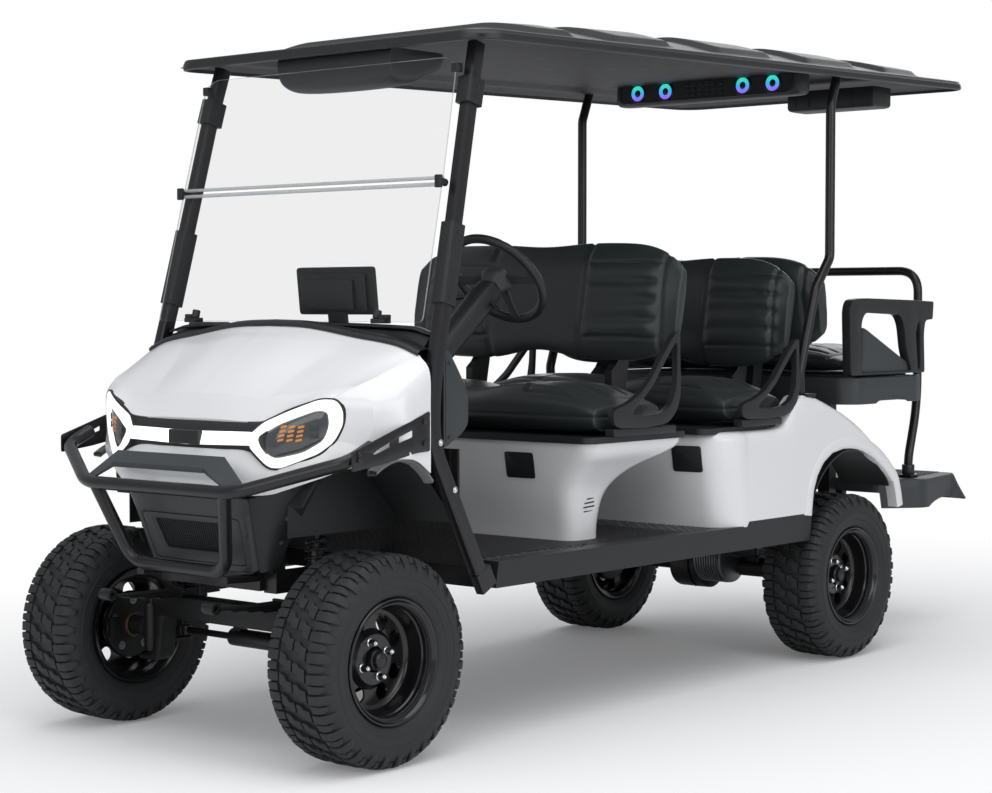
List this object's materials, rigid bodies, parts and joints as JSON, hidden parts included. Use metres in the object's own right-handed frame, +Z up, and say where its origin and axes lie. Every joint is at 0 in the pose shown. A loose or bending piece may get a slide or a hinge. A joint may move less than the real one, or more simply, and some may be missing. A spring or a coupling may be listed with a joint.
{
  "type": "golf cart",
  "caption": "Raised electric golf cart with three rows of seats, the last facing backwards, long roof, folding windscreen and off-road tyres.",
  "frame": {"origin": "on the ground, below the middle of the cart's overall box", "axes": "+Z up, -Y the way the cart drives forwards, +X the driver's left, where the steering wheel is"},
  "size_m": [1.3, 3.7909, 2.1575],
  "materials": {
    "body_white": "gloss white moulded panels",
    "trim_black": "textured black plastic",
    "trim_charcoal": "textured charcoal plastic",
    "frame_black": "satin black powder coat",
    "axle_grey": "satin dark grey",
    "drive_alloy": "cast alloy",
    "rim_black": "gloss black",
    "tyre_rubber": "matt rubber",
    "seat_vinyl": "near-black vinyl",
    "screen_clear": "clear acrylic",
    "lamp_lens": "clear lens",
    "lamp_red": "red lens",
    "mat_rubber": "ribbed mat",
    "display_black": "dark display"
  },
  "bodies": {
    "chassis": {"armrests": "trim_black", "bumper_plates": "frame_black", "cowl_side_guards": "trim_charcoal", "dashboard": "trim_black", "display_screen": "display_black", "floor_pan": "mat_rubber", "foot_platform": "trim_charcoal", "frame_rails": "frame_black", "front_axle_beam": "axle_grey", "front_bumper": "frame_black", "front_cowl": "body_white", "front_pod": "body_white", "front_seat_back": "seat_vinyl", "front_seat_cushion": "seat_vinyl", "front_struts": "frame_black", "front_suspension": "axle_grey", "front_wheel_liners": "trim_black", "headlamps": "lamp_lens", "lower_fascia": "trim_black", "middle_seat_back": "seat_vinyl", "middle_seat_cushion": "seat_vinyl", "overhead_console": "trim_black", "pedals": "frame_black", "power_unit": "trim_charcoal", "rear_axle": "drive_alloy", "rear_body": "body_white", "rear_handles": "trim_charcoal", "rear_hoop": "frame_black", "rear_roof_posts": "frame_black", "rear_seat_back": "seat_vinyl", "rear_seat_box": "trim_charcoal", "rear_suspension": "axle_grey", "rear_wheel_liners": "trim_black", "rockers": "trim_black", "roof": "trim_black", "seat_back_brackets": "frame_black", "seat_rims": "trim_black", "sound_bar": "trim_black", "steering_column": "trim_black", "steering_gear": "axle_grey", "tail_lamps": "lamp_red", "windscreen_lower": "screen_clear", "windscreen_upper": "screen_clear"},
    "steering_wheel": {"steering_wheel": "trim_black"},
    "knuckle_left": {"knuckle_left": "axle_grey"},
    "knuckle_right": {"knuckle_right": "axle_grey"},
    "tie_rod": {"tie_rod": "axle_grey"},
    "rear_seat": {"rear_seat_deck": "trim_black", "rear_seat_cushion": "seat_vinyl"},
    "wheel_front_left": {"tyre_front_left": "tyre_rubber", "rim_front_left": "rim_black"},
    "wheel_front_right": {"tyre_front_right": "tyre_rubber", "rim_front_right": "rim_black"},
    "wheel_rear_left": {"tyre_rear_left": "tyre_rubber", "rim_rear_left": "rim_black"},
    "wheel_rear_right": {"tyre_rear_right": "tyre_rubber", "rim_rear_right": "rim_black"}
  },
  "joints": [
    {"name": "steering", "type": "hinge", "parent": "chassis", "child": "steering_wheel", "pos_m": [0.33, -0.8085, 1.33], "axis": [0, 0.766, 0.6428], "range_deg": [-450, 450]},
    {"name": "knuckle_left_turn", "type": "hinge", "parent": "chassis", "child": "knuckle_left", "pos_m": [0.365, -1.5825, 0.292], "axis": [0, 0, 1], "range_deg": [-30.5, 30.5]},
    {"name": "knuckle_right_turn", "type": "hinge", "parent": "chassis", "child": "knuckle_right", "pos_m": [-0.365, -1.5825, 0.292], "axis": [0, 0, 1], "range_deg": [-30.5, 30.5]},
    {"name": "tie_rod_slide", "type": "slide", "parent": "chassis", "child": "tie_rod", "axis": [1, 0, 0], "range_m": [-0.0635, 0.0635]},
    {"name": "rear_seat_tip", "type": "hinge", "parent": "chassis", "child": "rear_seat", "pos_m": [0, 1.4175, 0.998], "axis": [-1, 0, 0], "range_deg": [0, 90]},
    {"name": "spin_front_left", "type": "hinge", "parent": "knuckle_left", "child": "wheel_front_left", "pos_m": [0.522, -1.5825, 0.292], "axis": [1, 0, 0], "continuous": true},
    {"name": "spin_front_right", "type": "hinge", "parent": "knuckle_right", "child": "wheel_front_right", "pos_m": [-0.522, -1.5825, 0.292], "axis": [1, 0, 0], "continuous": true},
    {"name": "spin_rear_left", "type": "hinge", "parent": "chassis", "child": "wheel_rear_left", "pos_m": [0.522, 0.8075, 0.292], "axis": [1, 0, 0], "continuous": true},
    {"name": "spin_rear_right", "type": "hinge", "parent": "chassis", "child": "wheel_rear_right", "pos_m": [-0.522, 0.8075, 0.292], "axis": [1, 0, 0], "continuous": true}
  ],
  "couplings": [
    {"joint": "knuckle_left_turn", "follows": "steering", "ratio": 0.066667},
    {"joint": "knuckle_right_turn", "follows": "steering", "ratio": 0.066667},
    {"joint": "tie_rod_slide", "follows": "steering", "m_per_rad": -0.008}
  ]
}
